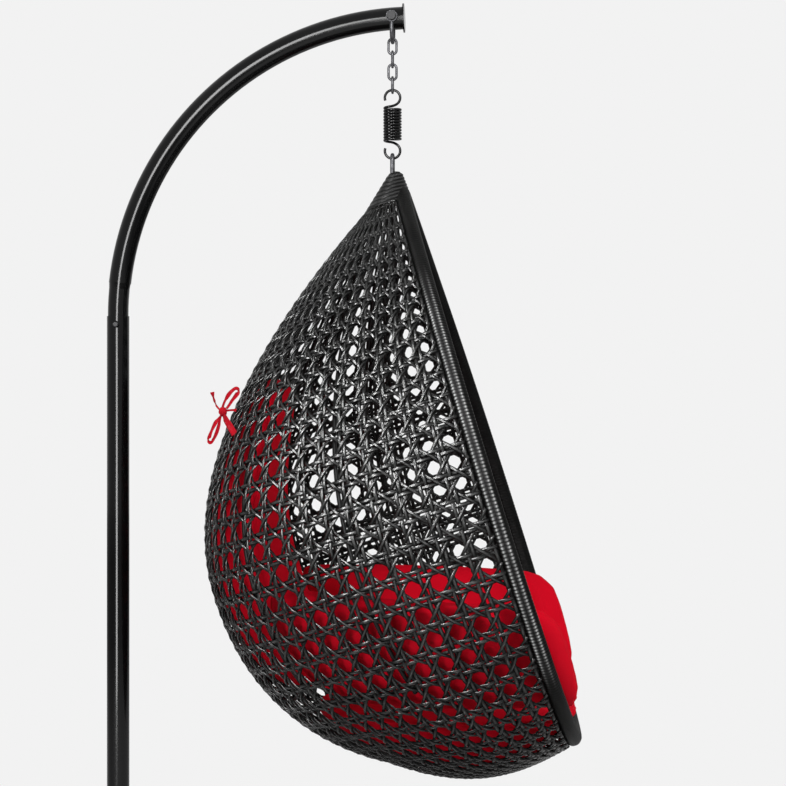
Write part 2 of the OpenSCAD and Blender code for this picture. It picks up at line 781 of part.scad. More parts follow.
// Walls between the outer face and the inner one, q points further on
function wall_under(a, q) = [[a, a + 1, q + a + 1], [a, q + a + 1, q + a]];
function wall_over(a, q) = [[a, q + a + 1, a + 1], [a, q + a, q + a + 1]];
function wall_right(a, b, q) = [[a, q + a, q + b], [a, q + b, b]];
function wall_left(a, b, q) = [[a, b, q + b], [a, q + b, q + a]];

module woven_shell() {
    outer = shell_face(0);
    inner = shell_face(shell_t);
    rows = len(outer);
    n = shell_cols + 1;
    q = rows * n;
    tip_out = 2 * q;
    tip_in = 2 * q + 1;
    points = concat([for (r = outer) each r], [for (r = inner) each r],
        [place(0, basket_len, edge_d), place(0, basket_len - shell_t, edge_d)]);
    cells = [for (i = [0:rows - 2], k = [0:shell_cols - 1])
        let (a = i * n + k, b = a + 1, c = a + n, d = c + 1)
        each !open_at(i, k)
        ? [[a, d, b], [a, c, d], [q + a, q + b, q + d], [q + a, q + d, q + c]]
        : concat(wall_over(a, q), wall_under(c, q),
            open_at(i, k - 1) ? [] : wall_left(a, c, q),
            open_at(i, k + 1) ? [] : wall_right(b, d, q))];
    top = [for (k = [0:n - 2]) each wall_under(k, q)];
    edges = [for (i = [0:rows - 2]) let (a = i * n, c = a + n - 1)
        each concat(wall_right(a, a + n, q), wall_left(c, c + n, q))];
    e = (rows - 1) * n;
    tips = [for (k = [0:n - 2]) each [[e + k, tip_out, e + k + 1],
        [q + e + k, q + e + k + 1, tip_in]]];
    tip_edges = [[e, q + e, tip_in], [e, tip_in, tip_out],
        [e + n - 1, tip_out, tip_in], [e + n - 1, tip_in, q + e + n - 1]];
    color(wicker) polyhedron(points, concat(cells, top, edges, tips, tip_edges));
}

// ---------------------------------------------------------------- cushions

// Station on the slope where the basket at angle a is at height z
function station_at(z, a, inset, s = 700, turns = 6) =
    turns == 0 ? s :
    station_at(z, a, inset, let (d = edge_d + back_at(s, inset) * behind(a))
        (apex_z - z - d * sin(basket_lean)) / cos(basket_lean) - sag(s, d), turns - 1);

// A point in a cushion: a runs round the basket and, past 90, out of the front
function in_pad(a, z, rho, base) =
    let (b = min(abs(a), 90), past = max(abs(a) - 90, 0),
         s = station_at(z, b, base),
         inset = pad_inset_at(edge_d + back_at(s, base) * behind(b), base))
    past == 0
    ? on_basket(s, sign(a) * b, inset, rho)
    : place(sign(a) * rho * side_at(s, inset), s, edge_d - past);

// Puffed pad between two angles and two heights; half is half its thickness as
// a share of the basket's radius, and pinch how sharply its edges draw in
function swell(x, y) =
    pow(max(0, (1 - pow(abs(x), 5)) * (1 - pow(abs(y), 5))), 0.45);
function ease(x) = sin(90 * x);
nose_round = 0.24;      // how far a pad's top and bottom draw in at its front end

module layer_pad(a0, a1, past, z0, z1, half, base, n_a, n_z, tuck) {
    mid = 1 - half;
    arc = past > 0 ? 0.86 : 1;
    function turn(u) = u <= arc ? a0 + (a1 - a0) * u / arc : a1 + past * (u - arc) / (1 - arc);
    function spot(i, k, side) =
        let (x = ease(2 * i / n_a - 1), y = ease(2 * k / n_z - 1), a = turn((x + 1) / 2),
             out = max(abs(a) - 90, 0), nose = out / max(past, 1),
             z = (z0 + z1) / 2 - out * sin(basket_lean)
                 + y * (z1 - z0) / 2 * (1 - tuck * x * x - nose_round * nose * nose))
        in_pad(a, z, mid + side * half * swell(x, y), base);
    n = n_a + 1;
    inner = [for (k = [0:n_z], i = [0:n_a]) spot(i, k, -1)];
    outer = [for (k = [1:n_z - 1], i = [1:n_a - 1]) spot(i, k, 1)];
    q = (n_z + 1) * n;
    function outer_at(i, k) = (i == 0 || i == n_a || k == 0 || k == n_z)
        ? k * n + i : q + (k - 1) * (n_a - 1) + i - 1;
    function inner_at(i, k) = k * n + i;
    // Each square is split towards the pad's middle, so that no corner folds flat
    function split(a, b, c, d, plain) = plain ? [[a, b, d], [a, d, c]] : [[a, b, c], [b, d, c]];
    faces = [for (k = [0:n_z - 1], i = [0:n_a - 1])
        let (plain = (2 * i < n_a) == (2 * k < n_z))
        each concat(
            split(outer_at(i, k), outer_at(i + 1, k), outer_at(i, k + 1),
                outer_at(i + 1, k + 1), plain),
            [for (f = split(inner_at(i, k), inner_at(i + 1, k), inner_at(i, k + 1),
                inner_at(i + 1, k + 1), plain)) [f[2], f[1], f[0]]])];
    polyhedron(concat(inner, outer), faces);
}

module back_cushion() {
    edge = 29;
    color(cushion_red) layer_pad(-edge, edge, 0, seat_top_z + cushion_gap, seat_top_z + back_rise,
        back_t / 2 / half_d, shell_t + 1.5 * wall_gap + rib_d + cushion_clear, 14, 18, 0.06);
}

arm_rear = 31.5;

module arm_pad() {
    layer_pad(arm_rear, 90, edge_d + front_roll, seat_top_z + cushion_gap,
        seat_top_z + arm_rise, arm_t / 2 / (half_w - pad_inset), pad_inset, 20, 12, 0);
}

module arm_cushion_left() {
    color(cushion_red) arm_pad();
}

module arm_cushion_right() {
    color(cushion_red) mirror([1, 0, 0]) arm_pad();
}

// Seat cushion: fills the bowl below its top, rounded where its faces meet
seat_mid = place(0, basket_len - 122, edge_d + 0.39 * half_d);
function slope_of(p) =
    let (y = p[1] - apex_y, z = apex_z - p[2],
         s = -y * sin(basket_lean) + z * cos(basket_lean),
         d = y * cos(basket_lean) + z * sin(basket_lean))
    [s - sag(s, d), d];
function seat_fill(p) =
    let (q = slope_of(p), inset = pad_inset_at(q[1]),
         past = max(q[0] - (basket_len - inset - 1), 0),
         w = max(side_at(q[0], inset), 1), b = max(back_at(q[0], inset), 1),
         wall = pow(pow(abs(p[0]) / w, section_n)
             + pow(max(q[1] - edge_d, 0) / b, section_n), 1 / section_n),
         top = (p[2] - seat_mid[2]) / (seat_top_z - seat_mid[2]),
         mid_d = slope_of(seat_mid)[1],
         front = (mid_d - q[1]) / (mid_d + front_roll))
    past + pow(wall, 12) + pow(max(top, 0), 8) + pow(max(front, 0), 6);
function seat_reach(u, low = 0, high = 1.1 * half_w, turns = 18) =
    turns == 0 ? low :
    let (mid = (low + high) / 2)
    seat_fill(seat_mid + mid * u) < 1 ? seat_reach(u, mid, high, turns - 1)
        : seat_reach(u, low, mid, turns - 1);

module seat_cushion() {
    n = 36;
    rows = 17;
    way = function (i, k) let (e = -90 + 180 * i / (rows + 1), a = 360 * k / n)
        [cos(e) * cos(a), cos(e) * sin(a), sin(e)];
    points = concat(
        [for (i = [1:rows], k = [0:n - 1]) seat_mid + seat_reach(way(i, k)) * way(i, k)],
        [seat_mid - [0, 0, seat_reach([0, 0, -1])], seat_mid + [0, 0, seat_reach([0, 0, 1])]]);
    low = rows * n;
    caps = [for (k = [0:n - 1]) let (j = (k + 1) % n, e = (rows - 1) * n)
        each [[low, k, j], [low + 1, e + j, e + k]]];
    color(cushion_red) polyhedron(points, concat(skin(rows, n, 1), caps));
}

// Ribbon bow on the basket's back: a knot with two loops and two tails
knot_z = seat_top_z + back_rise - 68; // below the back cushion's top edge
knot_x = -150;
knot_r = 9;
ribbon_t = 1.2;
loop_up = [[2, 3, 8.6], [3, 9, 20], [5, 6, 36], [3, -8, 46], [-2, -16, 40], [-3, -9, 24],
    [-3, -3, 8.6]];
loop_down = [[2, 4, -8.1], [4, 14, -18], [3, 24, -38], [-1, 28, -54], [-6, 20, -58], [-8, 10, -40],
    [-4, 1, -9]];
tail_up = [[-4, 7, 5.9], [-5, 12, 14], [-7, 16, 26], [-8, 19, 38]];
tail_down = [[-9, 0, -5], [-24, -3, -13], [-50, -11, -29], [-76, -24, -46]];
to_wall = 18;

module ribbon(route) {
    m = len(route);
    w = ribbon_w / 2;
    h = ribbon_t / 2;
    points = [for (i = [0:m - 1]) let (t = tangent(route, i), c = route[i],
            u = unit([1, 0, 0.9] - (t * [1, 0, 0.9]) * t), v = cross(t, u))
        each [c + w * u + h * v, c - w * u + h * v, c - w * u - h * v, c + w * u - h * v]];
    ends = [[0, 1, 2, 3], [for (k = [3:-1:0]) (m - 1) * 4 + k]];
    polyhedron(points, concat(skin(m, 4, 1), ends));
}

// Angle round the basket at which its wall is knot_x from the middle
knot_s = station_at(knot_z, 0, 0);
knot_a = -asin(pow(-knot_x / side_at(knot_s, 0), section_n / 2));

module cushion_tie() {
    wall = on_basket(station_at(knot_z, knot_a, 0), knot_a, 0);
    color(cushion_red) translate([knot_x, wall[1] + knot_r + to_wall, knot_z]) {
        sphere(r = knot_r, $fn = 12);
        for (route = [loop_up, loop_down, tail_up, tail_down]) ribbon(route);
        ribbon([for (u = [0, 0.5, 1]) [u, -knot_r - 0.5 - u * (to_wall - 1.6), 2 * u]]);
    }
}

base_spine();
base_ring_left();
base_ring_right();
base_crossbar();
ring_bolts();
crossbar_bolts();
rubber_feet();
pole_socket();
socket_bolts();
lower_pole();
curved_pole();
joint_bolt();
end_cap();
hanger_bolt();
hanger_nut();
hanger_washers();
hanger_shackle();
chain_link_1();
chain_link_2();
chain_link_3();
chain_link_4();
spring();
basket_loop();
basket_crown();
rim_tube();
rim_wrap();
rib_back();
rib_left_rear();
rib_left_front();
rib_right_rear();
rib_right_front();
seat_hoop();
woven_shell();
seat_cushion();
back_cushion();
arm_cushion_left();
arm_cushion_right();
cushion_tie();
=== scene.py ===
import math

import bmesh
import bpy
import numpy as np
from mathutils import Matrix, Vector
from mathutils.bvhtree import BVHTree


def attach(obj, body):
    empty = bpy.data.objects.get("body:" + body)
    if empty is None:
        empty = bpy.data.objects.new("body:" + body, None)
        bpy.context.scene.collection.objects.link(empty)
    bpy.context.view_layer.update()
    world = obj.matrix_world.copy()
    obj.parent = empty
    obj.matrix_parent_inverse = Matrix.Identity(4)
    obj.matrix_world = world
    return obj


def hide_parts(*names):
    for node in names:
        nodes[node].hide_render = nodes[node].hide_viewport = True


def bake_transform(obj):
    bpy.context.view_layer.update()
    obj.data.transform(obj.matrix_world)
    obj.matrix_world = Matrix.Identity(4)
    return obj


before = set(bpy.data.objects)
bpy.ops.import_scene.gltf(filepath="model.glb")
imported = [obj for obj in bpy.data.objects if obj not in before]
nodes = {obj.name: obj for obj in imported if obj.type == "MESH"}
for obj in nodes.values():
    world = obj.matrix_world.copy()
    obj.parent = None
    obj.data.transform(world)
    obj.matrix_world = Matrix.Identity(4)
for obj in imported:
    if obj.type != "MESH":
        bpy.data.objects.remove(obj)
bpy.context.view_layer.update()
scene = bpy.context.scene

MM = 0.001


# ------------------------------------------------------------------ camera

CAMERA_TURN, CAMERA_DISTANCE = math.radians(-86.2), 4.0
AIM = (0, -0.086, 1.180)
LENS, SENSOR = 91.6, 36


def make_camera():
    """Level camera beside the chair, a little forward of square."""
    back = Vector((math.sin(CAMERA_TURN), -math.cos(CAMERA_TURN), 0))
    bpy.ops.object.camera_add(location=Vector(AIM) + back * CAMERA_DISTANCE,
                              rotation=(math.pi / 2, 0, CAMERA_TURN))
    camera = bpy.context.object
    camera.name = "camera"
    camera.data.sensor_width, camera.data.lens = SENSOR, LENS
    camera.data.clip_end = 60
    scene.camera = camera


make_camera()
scene.view_settings.view_transform = "Standard"


# ------------------------------------------------------------------ shader maths

class Wire:
    """A value in a finish. Arithmetic on it adds Math nodes."""

    def __init__(self, finish, socket):
        self.finish, self.socket = finish, socket

    def maths(self, operation, *values):
        return self.finish.node("Math", {"operation": operation}, dict(enumerate(values)))

    def __add__(self, other):
        return self.maths("ADD", self, other)

    def __radd__(self, other):
        return self.maths("ADD", other, self)

    def __sub__(self, other):
        return self.maths("SUBTRACT", self, other)

    def __mul__(self, other):
        return self.maths("MULTIPLY", self, other)

    def __truediv__(self, other):
        return self.maths("DIVIDE", self, other)

    def __pow__(self, other):
        return self.maths("POWER", self, other)

    def sine(self):
        return self.maths("SINE", self)

    def size(self):
        return self.maths("ABSOLUTE", self)


class Finish:
    """A material built of nodes round one Principled shader."""

    def __init__(self, name, **plain):
        self.material = bpy.data.materials.new(name)
        self.material.use_nodes = True
        self.tree = self.material.node_tree
        self.shader = self.tree.nodes["Principled BSDF"]
        for socket, value in plain.items():
            self.shader.inputs[socket.replace("_", " ")].default_value = value

    def node(self, kind, settings=None, inputs=None, output=0):
        """Adds one node, sets it up, and wires or fills its inputs."""
        made = self.tree.nodes.new("ShaderNode" + kind)
        for name, value in (settings or {}).items():
            if name == "stops":
                ramp = made.color_ramp.elements
                while len(ramp) < len(value):
                    ramp.new(0.5)
                for stop, (position, colour) in zip(ramp, value):
                    stop.position = position
                    stop.color = (*colour, 1)
            else:
                setattr(made, name, value)
        for name, value in (inputs or {}).items():
            if isinstance(value, Wire):
                self.tree.links.new(value.socket, made.inputs[name])
            else:
                made.inputs[name].default_value = value
        return Wire(self, made.outputs[output])

    def at(self, kind="Object"):
        return self.node("TexCoord", output=kind)

    def parts(self, vector):
        """The three numbers of a vector."""
        split = self.node("SeparateXYZ", None, {0: vector})
        return [Wire(self, s) for s in split.socket.node.outputs]

    def vector(self, x, y, z=0.0):
        return self.node("CombineXYZ", None, {0: x, 1: y, 2: z})

    def noise(self, where, scale, detail=3.0, rough=0.5):
        return self.node("TexNoise", None, {"Vector": where, "Scale": scale, "Detail": detail,
                                            "Roughness": rough})

    def stretched(self, where, stretch):
        """The same place with its axes scaled, so a pattern runs long one way."""
        return self.node("Mapping", None, {"Vector": where, "Scale": stretch})

    def ramp(self, factor, *stops):
        return self.node("ValToRGB", {"stops": stops}, {0: factor})

    def tint(self, factor, first, second):
        """Two colours mixed."""
        pair = {6: first if isinstance(first, Wire) else (*first, 1),
                7: second if isinstance(second, Wire) else (*second, 1)}
        return self.node("Mix", {"data_type": "RGBA"}, {0: factor, **pair}, 2)

    def rise(self, height, depth, strength):
        """Relief, depth metres from lowest to highest."""
        bump = self.node("Bump", None, {"Height": height, "Distance": depth,
                                        "Strength": strength})
        self.tree.links.new(bump.socket, self.shader.inputs["Normal"])

    def feed(self, **varying):
        """Wires values to the shader's sockets of those names."""
        for socket, wire in varying.items():
            self.tree.links.new(wire.socket, self.shader.inputs[socket.replace("_", " ")])


# ------------------------------------------------------------------ finishes

CHARCOAL = ((0.0015, 0.0015, 0.0015), (0.0042, 0.0042, 0.0041), (0.010, 0.0098, 0.0096))
CLOTH_PITCH = 1.6 * MM


def gloss_black():
    """Powder-coated tube, glossy, with faint orange peel and dust."""
    f = Finish("gloss_black_coat", Specular_IOR_Level=0.15, Coat_Roughness=0.05)
    where = f.at()
    cloud = f.noise(where, 9.0, 4)
    dust = f.noise(where, 160.0, 3)
    f.feed(Base_Color=f.tint(cloud, (0.0006, 0.0006, 0.0007), (0.0020, 0.0020, 0.0021)),
           Roughness=0.12 + cloud * 0.06 + dust * 0.04, Coat_Weight=0.04 + cloud * 0.08)
    f.rise(f.noise(where, 420.0, 2), 0.00006, 0.6)
    return f.material


def dark_zinc():
    """Black-plated bolts and nuts, with fine turning marks and dull patches."""
    f = Finish("dark_zinc", Metallic=0.8)
    where = f.at()
    patch = f.noise(where, 240.0, 4)
    marks = f.noise(f.stretched(where, (1.0, 1.0, 14.0)), 300.0, 2)
    f.feed(Base_Color=f.tint(patch, (0.006, 0.006, 0.0063), (0.018, 0.018, 0.0185)),
           Roughness=0.26 + patch * 0.2 + marks * 0.1)
    f.rise(marks, 0.00005, 0.5)
    return f.material


def foot_rubber():
    """Moulded rubber with a grained face."""
    f = Finish("black_rubber", Specular_IOR_Level=0.3)
    where = f.at()
    grain = f.noise(where, 700.0, 3)
    worn = f.noise(where, 30.0, 3)
    f.feed(Base_Color=f.tint(worn, (0.012, 0.012, 0.012), (0.03, 0.03, 0.029)),
           Roughness=0.68 + grain * 0.2)
    f.rise(grain, 0.00012, 0.7)
    return f.material


def dull_steel():
    """Blackened steel of the chain, shackle and loop, rubbed brighter in places."""
    f = Finish("blackened_steel")
    where = f.at()
    rub = f.noise(where, 130.0, 5, 0.65)
    pits = f.noise(where, 900.0, 2)
    f.feed(Base_Color=f.ramp(rub, (0.35, (0.02, 0.02, 0.022)), (0.55, (0.07, 0.07, 0.075)),
                             (0.75, (0.13, 0.13, 0.135))),
           Metallic=0.55 + rub * 0.4, Roughness=0.32 + pits * 0.25)
    f.rise(pits, 0.00008, 0.5)
    return f.material


def frame_paint():
    """Thin dark paint of the hidden frame tubes."""
    f = Finish("dark_frame_paint", Specular_IOR_Level=0.12)
    where = f.at()
    cloud = f.noise(where, 40.0, 4)
    f.feed(Base_Color=f.tint(cloud, (0.0012, 0.0012, 0.0012), (0.003, 0.003, 0.003)),
           Roughness=0.35 + cloud * 0.25)
    f.rise(f.noise(where, 500.0, 2), 0.00008, 0.5)
    return f.material


def cane(name, lengthwise, tones, highlight_colour, spec, shine):
    """Extruded cane: fine lengthwise ribs, streaks, a tone for each strand, and a painted
    highlight colour on the raised crests, which are also a little smoother.
    """
    f = Finish(name, Specular_IOR_Level=spec)
    u, v, _ = f.parts(f.at("UV"))
    tone = f.node("Attribute", {"attribute_name": "tone"}, None, "Fac")
    crest = f.node("Attribute", {"attribute_name": "crest"}, None, "Fac")
    run, cross = (u, v) if lengthwise else (v, u)
    streak = f.noise(f.vector(run * 9.0, cross * 14.0, tone * 40.0), 1.0, 3)
    ribs = (cross * (150.0 if lengthwise else 5200.0)).sine()
    grain = f.noise(f.vector(run * 160.0, cross * 30.0, tone * 40.0), 1.0, 3)
    # Painted highlight: a lighter colour mixed in, streaky, on the crests; the crests are also a
    # little smoother
    worn = crest * crest * (0.30 + streak * 1.1)
    plain = f.ramp(streak * 0.6 + tone * 0.5, *zip((0.25, 0.55, 0.85), tones))
    f.feed(Base_Color=f.tint(worn, plain, highlight_colour),
           Roughness=shine + grain * 0.12 + streak * 0.05 - worn * 0.04)
    f.rise(ribs * 0.5 + grain, 0.00014, 0.5)
    return f.material


def woven_red():
    """Plain-weave cover cloth."""
    f = Finish("red_cover_cloth", Specular_IOR_Level=0.025)
    where = f.at()
    turns = 2 * math.pi / CLOTH_PITCH
    sx, sy, sz = [(axis * turns).sine() for axis in f.parts(where)]
    weave = (sx * sy + sy * sz + sz * sx) * 0.33 + 0.5
    cloud = f.noise(where, 7.0, 4)
    fluff = f.noise(where, 260.0, 4, 0.6)
    f.feed(Base_Color=f.tint(cloud * 0.6 + fluff * 0.25 + weave * 0.15,
                             (0.37, 0.0015, 0.009), (0.52, 0.003, 0.013)),
           Roughness=0.74 + fluff * 0.2)
    f.rise(weave * 0.7 + fluff * 0.5, 0.00035, 0.8)
    return f.material


def ribbon_red():
    """Grosgrain ribbon, ribbed across its width."""
    f = Finish("red_ribbon", Specular_IOR_Level=0.06)
    u, v, _ = f.parts(f.at("UV"))
    ribs = (u * 5200.0).sine() * 0.5 + 0.5
    edge = ((v - 0.5) * 2.0).size() ** 12.0
    fade = f.noise(f.at(), 60.0, 4)
    f.feed(Base_Color=f.tint(fade * 0.7 + ribs * 0.2,
                             (0.26, 0.002, 0.008), (0.44, 0.005, 0.014)),
           Roughness=0.5 + fade * 0.2 - edge * 0.1)
    f.rise(ribs + edge, 0.00015, 0.7)
    return f.material


black, bolt, rubber, steel, paint = (gloss_black(), dark_zinc(), foot_rubber(), dull_steel(),
                                     frame_paint())
# The fourth value of each is the painted highlight colour of the crests.
strand_finish = cane("woven_cane", True, CHARCOAL, (0.045, 0.045, 0.045), 0.06, 0.13)
wrap_finish = cane("wrapped_cane", False, CHARCOAL, (0.36, 0.36, 0.36), 0.02, 0.34)
cover = woven_red()
ribbon_cloth = ribbon_red()

KEPT = {
    black: ("base_spine", "base_ring_left", "base_ring_right", "base_crossbar", "pole_socket",
            "lower_pole", "curved_pole", "end_cap"),
    bolt: ("ring_bolts", "crossbar_bolts", "socket_bolts", "joint_bolt", "hanger_bolt",
           "hanger_nut", "hanger_washers"),
    rubber: ("rubber_feet",),
    steel: ("hanger_shackle", "chain_link_1", "chain_link_2", "chain_link_3", "chain_link_4",
            "basket_loop"),
    paint: ("rim_tube",),
}
for material, names in KEPT.items():
    for name in names:
        for held in nodes[name].material_slots:
            held.material = material


# ------------------------------------------------------------------ mesh tools

def clear():
    bpy.ops.object.select_all(action="DESELECT")


def apply_all(piece):
    """Applies a piece's modifiers, in their order."""
    clear()
    piece.select_set(True)
    bpy.context.view_layer.objects.active = piece
    for modifier in list(piece.modifiers):
        bpy.ops.object.modifier_apply(modifier=modifier.name)


def spots_of(piece, kind="co"):
    """The points, or normals, of a piece as rows of three."""
    found = np.empty(len(piece.data.vertices) * 3)
    piece.data.vertices.foreach_get(kind, found)
    return found.reshape(-1, 3)


def put_spots(piece, spots):
    piece.data.vertices.foreach_set("co", spots.ravel())
    piece.data.update()


def smooth(piece):
    piece.data.polygons.foreach_set("use_smooth", np.ones(len(piece.data.polygons), bool))


def new_piece(name, points, faces, finish, places, shades):
    """A smooth mesh piece, with its own map and, for each point, a tone and a share of painted
    highlight.
    """
    mesh = bpy.data.meshes.new(name)
    mesh.from_pydata(np.asarray(points, float).tolist(), [], [list(map(int, f)) for f in faces])
    mesh.materials.append(finish)
    layer = mesh.uv_layers.new(name="UVMap")
    layer.data.foreach_set("uv", np.asarray(places, np.float32).ravel())
    for kind, values in shades.items():
        attribute = mesh.attributes.new(kind, "FLOAT", "POINT")
        attribute.data.foreach_set("value", np.asarray(values, np.float32))
    piece = bpy.data.objects.new(name, mesh)
    smooth(piece)
    mesh.update()
    bpy.context.collection.objects.link(piece)
    return piece


def lengths_along(path):
    """The length of the line from its start to each of its points."""
    return np.concatenate([[0], np.cumsum(np.linalg.norm(np.diff(path, axis=0), axis=1))])


def skinned(name, runs, finish, tones=None, painted_highlights=None):
    """Skins runs of rings, with capped ends: each run is rings x points round x 3."""
    points, faces, places, shade, height = [], [], [], [], []
    start = 0
    for number, rings in enumerate(runs):
        n, k = rings.shape[:2]
        length = lengths_along(rings.mean(1))
        points.append(rings.reshape(-1, 3))
        shade.append(np.full(n * k, 0.5 if tones is None else tones[number]))
        # How much painted highlight each point takes; the cane finishes mix their highlight
        # colour in by it
        height.append(np.zeros(n * k) if painted_highlights is None else painted_highlights[number].ravel())
        i, j = np.meshgrid(np.arange(n - 1), np.arange(k), indexing="ij")
        i, j = i.ravel(), j.ravel()
        near, far = start + i * k, start + (i + 1) * k
        quads = np.stack([near + j, near + (j + 1) % k, far + (j + 1) % k, far + j], 1)
        faces.extend(quads.tolist())
        u0, u1 = length[i], length[i + 1]
        v0, v1 = j / k, (j + 1) / k
        places.append(np.stack([u0, v0, u0, v1, u1, v1, u1, v0], 1).reshape(-1, 2))
        faces.append([start + m for m in range(k - 1, -1, -1)])
        faces.append([start + (n - 1) * k + m for m in range(k)])
        places.append(np.tile([[0.0, 0.0]], (2 * k, 1)))
        start += n * k
    return new_piece(name, np.concatenate(points), faces, finish, np.concatenate(places),
                     {"tone": np.concatenate(shade), "crest": np.concatenate(height)})


def along(path):
    """The direction of a line at each of its points."""
    step = np.gradient(path, axis=0)
    return step / np.linalg.norm(step, axis=1, keepdims=True)


def carried(path, first):
    """Two directions square to a path, carried along it without twist."""
    t = along(path)
    u = np.zeros_like(path)
    guide = np.asarray(first, float)
    for i in range(len(path)):
        guide = guide - (guide @ t[i]) * t[i]
        guide /= np.linalg.norm(guide)
        u[i] = guide
    return u, np.cross(t, u)


def tube(path, radius, sides, first):
    """Rings of a round tube."""
    u, v = carried(path, first)
    a = np.linspace(0, 2 * math.pi, sides, endpoint=False)
    return path[:, None] + radius * (np.cos(a)[None, :, None] * u[:, None]
                                     + np.sin(a)[None, :, None] * v[:, None])


def evenly(path, step):
    """The same line with points step apart."""
    length = lengths_along(path)
    at = np.linspace(0, length[-1], max(2, int(round(length[-1] / step)) + 1))
    return np.stack([np.interp(at, length, path[:, c]) for c in range(3)], 1)


def eased(points, steps):
    """A smooth curve through a few points."""
    p = np.asarray(points, float)
    p = np.concatenate([p[:1], p, p[-1:]])
    out = []
    for q in zip(p, p[1:], p[2:], p[3:]):
        for u in np.linspace(0, 1, steps, endpoint=False):
            out.append(0.5 * (2 * q[1] + (q[2] - q[0]) * u
                              + (2 * q[0] - 5 * q[1] + 4 * q[2] - q[3]) * u ** 2
                              + (3 * q[1] - q[0] - 3 * q[2] + q[3]) * u ** 3))
    return np.array([*out, p[-1]])


def dress(piece, body, slot, *replaced):
    """Says what a piece rides on and hides the nodes it stands for; slot is not used."""
    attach(piece, body)
    if replaced:
        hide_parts(*replaced)
    return piece


# ------------------------------------------------------------------ basket form

# Millimetres, as in the CAD. s runs down the rim's plane from the apex, d square to it.
LONG, EDGE, LEAN = 1178.0, 30.2615, math.radians(17.6)
APEX_Y, APEX_Z = -110.049, 1613.86
# Greatest reach, where it is, and the powers of the curves above and below it.
WIDE, DEEP = (480.0, 700.0, 0.95, 2.0), (577.739, 682.0, 1.05, 2.2)
SQUARE = 2.4
WIDEST = WIDE[1]
SAG, SAG_FROM, SAG_WIDTH = 22, 800, 340
HANG_Y = -85.049
RIM = 17.0


def reach_at(s, shape, inset):
    """Half width or depth of the basket at s, drawn in by inset."""
    full, widest, power, roundness = shape
    x = np.clip((widest - s) / widest, 0, None)
    e = np.maximum(1 - x * x, 1e-4)
    slope = full * power * e ** (power - 1) * 2 * x / widest
    upper = full * e ** power - inset * np.sqrt(1 + slope * slope)
    y = np.clip((s - widest) / (LONG - inset - widest), 0, 1)
    lower = (full - inset) * (1 - y ** roundness) ** (1 / roundness)
    return np.maximum(np.where(s < widest, upper, lower), 0)


def sag(s, d):
    """How much further down the slope the basket's full belly lies."""
    k = np.clip((s - SAG_FROM) / (LONG - SAG_FROM), 0, 1)
    return SAG * np.sin(math.pi * np.clip((d - EDGE) / SAG_WIDTH, 0, 1)) * k * k * (3 - 2 * k)


def place(x, s, d):
    """A point x to the side, s down the slope and d behind its plane, in metres."""
    q = s + sag(s, d)
    return MM * np.stack([x + 0 * q, APEX_Y - q * math.sin(LEAN) + d * math.cos(LEAN),
                          APEX_Z - q * math.cos(LEAN) - d * math.sin(LEAN)], -1)


def on_basket(s, angle, inset=0.0, share=1.0):
    """Points on the basket: s down its slope, angle round it from the middle of the back."""
    s, angle = np.broadcast_arrays(np.asarray(s, float), np.asarray(angle, float))
    x = np.sign(angle) * np.abs(np.sin(angle)) ** (2 / SQUARE)
    b = np.abs(np.cos(angle)) ** (2 / SQUARE)
    return place(share * reach_at(s, WIDE, inset) * x, s,
                 EDGE + share * reach_at(s, DEEP, inset) * b)


def station_at(z, angle, inset):
    """How far down its slope the basket is at height z."""
    s = WIDEST
    b = abs(math.cos(angle)) ** (2 / SQUARE)
    for _ in range(8):
        d = EDGE + float(reach_at(s, DEEP, inset)) * b
        s = (APEX_Z - z - d * math.sin(LEAN)) / math.cos(LEAN) - float(sag(s, d))
    return s


# ------------------------------------------------------------------ wicker shell

COLUMNS, ROW_PITCH, DRIFT = 36, 0.049, 0.5
WEAVE_INSET = 1.8
ANGLES = np.linspace(-math.pi / 2, math.pi / 2, 2001)
ROUND = lengths_along(on_basket(WIDEST, ANGLES))
SLOPES = np.linspace(24, LONG - 1.5, 2001)
DOWN = lengths_along(on_basket(SLOPES, math.radians(50)))
ROWS = int(round(DOWN[-1] / ROW_PITCH))


def weave_place(u, v):
    """A point of the weave: u columns round the basket, v rows down it, the rows aslant."""
    v = v + DRIFT * (u / COLUMNS - 0.5) * np.sin(math.pi * v / ROWS)
    angle = np.interp(u / COLUMNS * ROUND[-1], ROUND, ANGLES)
    s = np.interp(v / ROWS * DOWN[-1], DOWN, SLOPES)
    return on_basket(s, angle, WEAVE_INSET)


def weave_frame(u, v):
    """Place, outward direction, and column pitch there, in metres."""
    h = 0.02
    u0, u1 = np.maximum(u - h, 0), np.minimum(u + h, COLUMNS)
    v0, v1 = np.maximum(v - h, 0), np.minimum(v + h, ROWS)
    du = weave_place(u1, v) - weave_place(u0, v)
    dv = weave_place(u, v1) - weave_place(u, v0)
    out = np.cross(du, dv)
    out = out / np.maximum(np.linalg.norm(out, axis=-1, keepdims=True), 1e-12)
    return weave_place(u, v), out, np.linalg.norm(du, axis=-1) / (u1 - u0)


def wander(i, u, reach):
    """Smooth hand-made unevenness, different for each strand i."""
    return reach * (np.sin(u * 1.31 + i * 2.17) + np.sin(u * 0.57 + i * 5.03)
                    + 0.6 * np.sin(u * 3.1 + i * 1.7)) / 2.6


def own_tone(seed, spread):
    """A tone from 0 to 1 that differs from strand to strand."""
    return (math.sin(seed) * spread) % 1


# The strands' domed section, half width by half thickness, and how much of the painted highlight
# each point takes.
SECTION = ((-1, 0), (-0.64, 0.80), (0, 1.05), (0.64, 0.80), (1, 0), (0.55, -0.85),
           (-0.55, -0.85))
HIGHLIGHT_SHARE = (0, 0.25, 1, 0.25, 0, 0, 0)
# Column pitches, in metres, below which strands get narrower and lie flatter.
NARROW_PITCH, FLAT_PITCH = 0.017, 0.022


